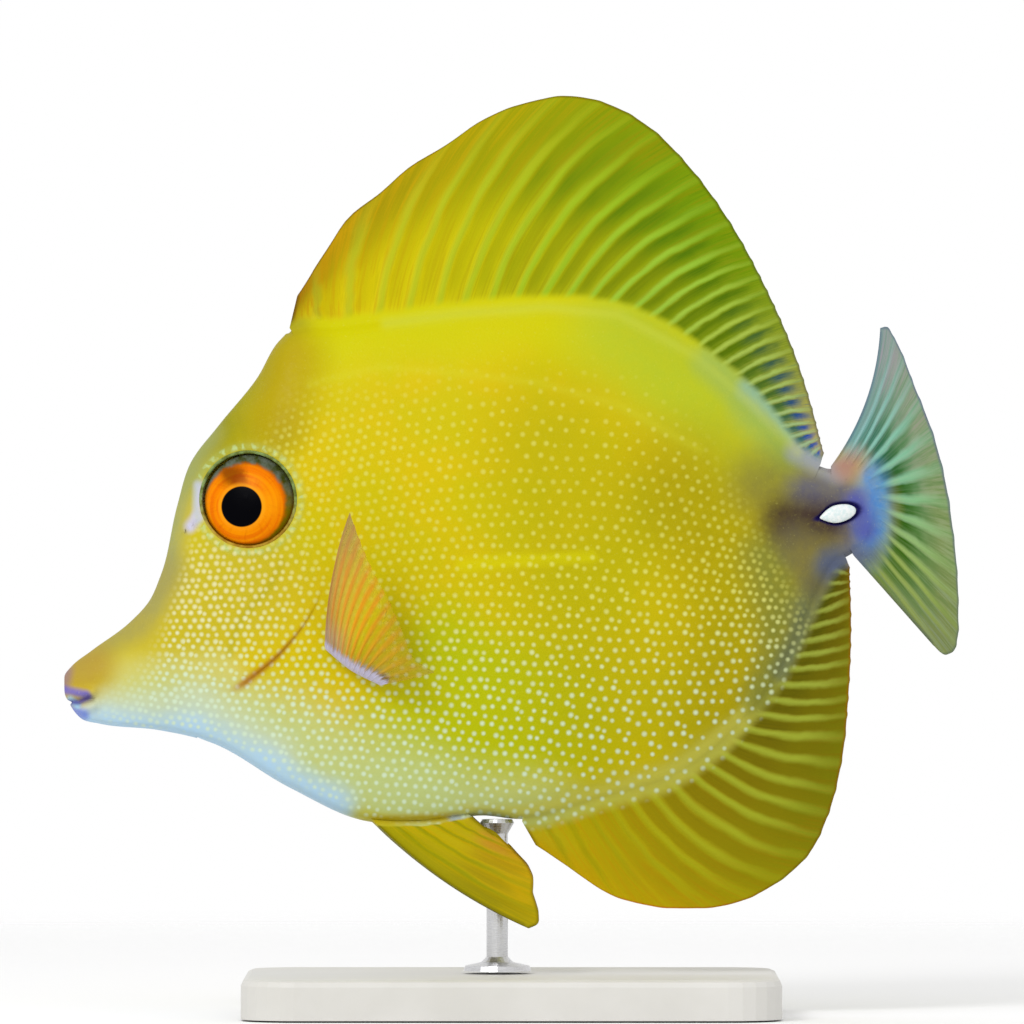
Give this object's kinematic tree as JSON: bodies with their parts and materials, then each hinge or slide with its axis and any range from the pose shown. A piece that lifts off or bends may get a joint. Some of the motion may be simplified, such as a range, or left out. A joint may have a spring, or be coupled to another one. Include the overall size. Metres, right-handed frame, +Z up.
{
  "type": "scopas tang",
  "caption": "Scopas tang in its yellow form, life-size still model with tall fins and a pale-dotted deep body, raised on a plain stand.",
  "frame": {"origin": "middle of the underside of the stand's base, below the middle of the whole model", "axes": "+Z up, the fish faces -X, its left side faces -Y"},
  "size_m": [0.1002, 0.044, 0.1028],
  "materials": {
    "skin": "satin",
    "upright_fin": "satin",
    "tail_fin": "satin",
    "side_fin": "satin",
    "eye": "polished",
    "tail_spine": "satin",
    "stand_base": "satin",
    "stand_rod": "brushed"
  },
  "bodies": {
    "root": {"head": "skin", "torso": "skin", "caudal_peduncle": "skin", "dorsal_fin": "upright_fin", "anal_fin": "upright_fin", "caudal_fin": "tail_fin", "pectoral_fin_left": "side_fin", "pectoral_fin_right": "side_fin", "pelvic_fin_left": "upright_fin", "pelvic_fin_right": "upright_fin", "eye_left": "eye", "eye_right": "eye", "caudal_spine_left": "tail_spine", "caudal_spine_right": "tail_spine", "stand_base": "stand_base", "stand_rod": "stand_rod"}
  },
  "joints": []
}
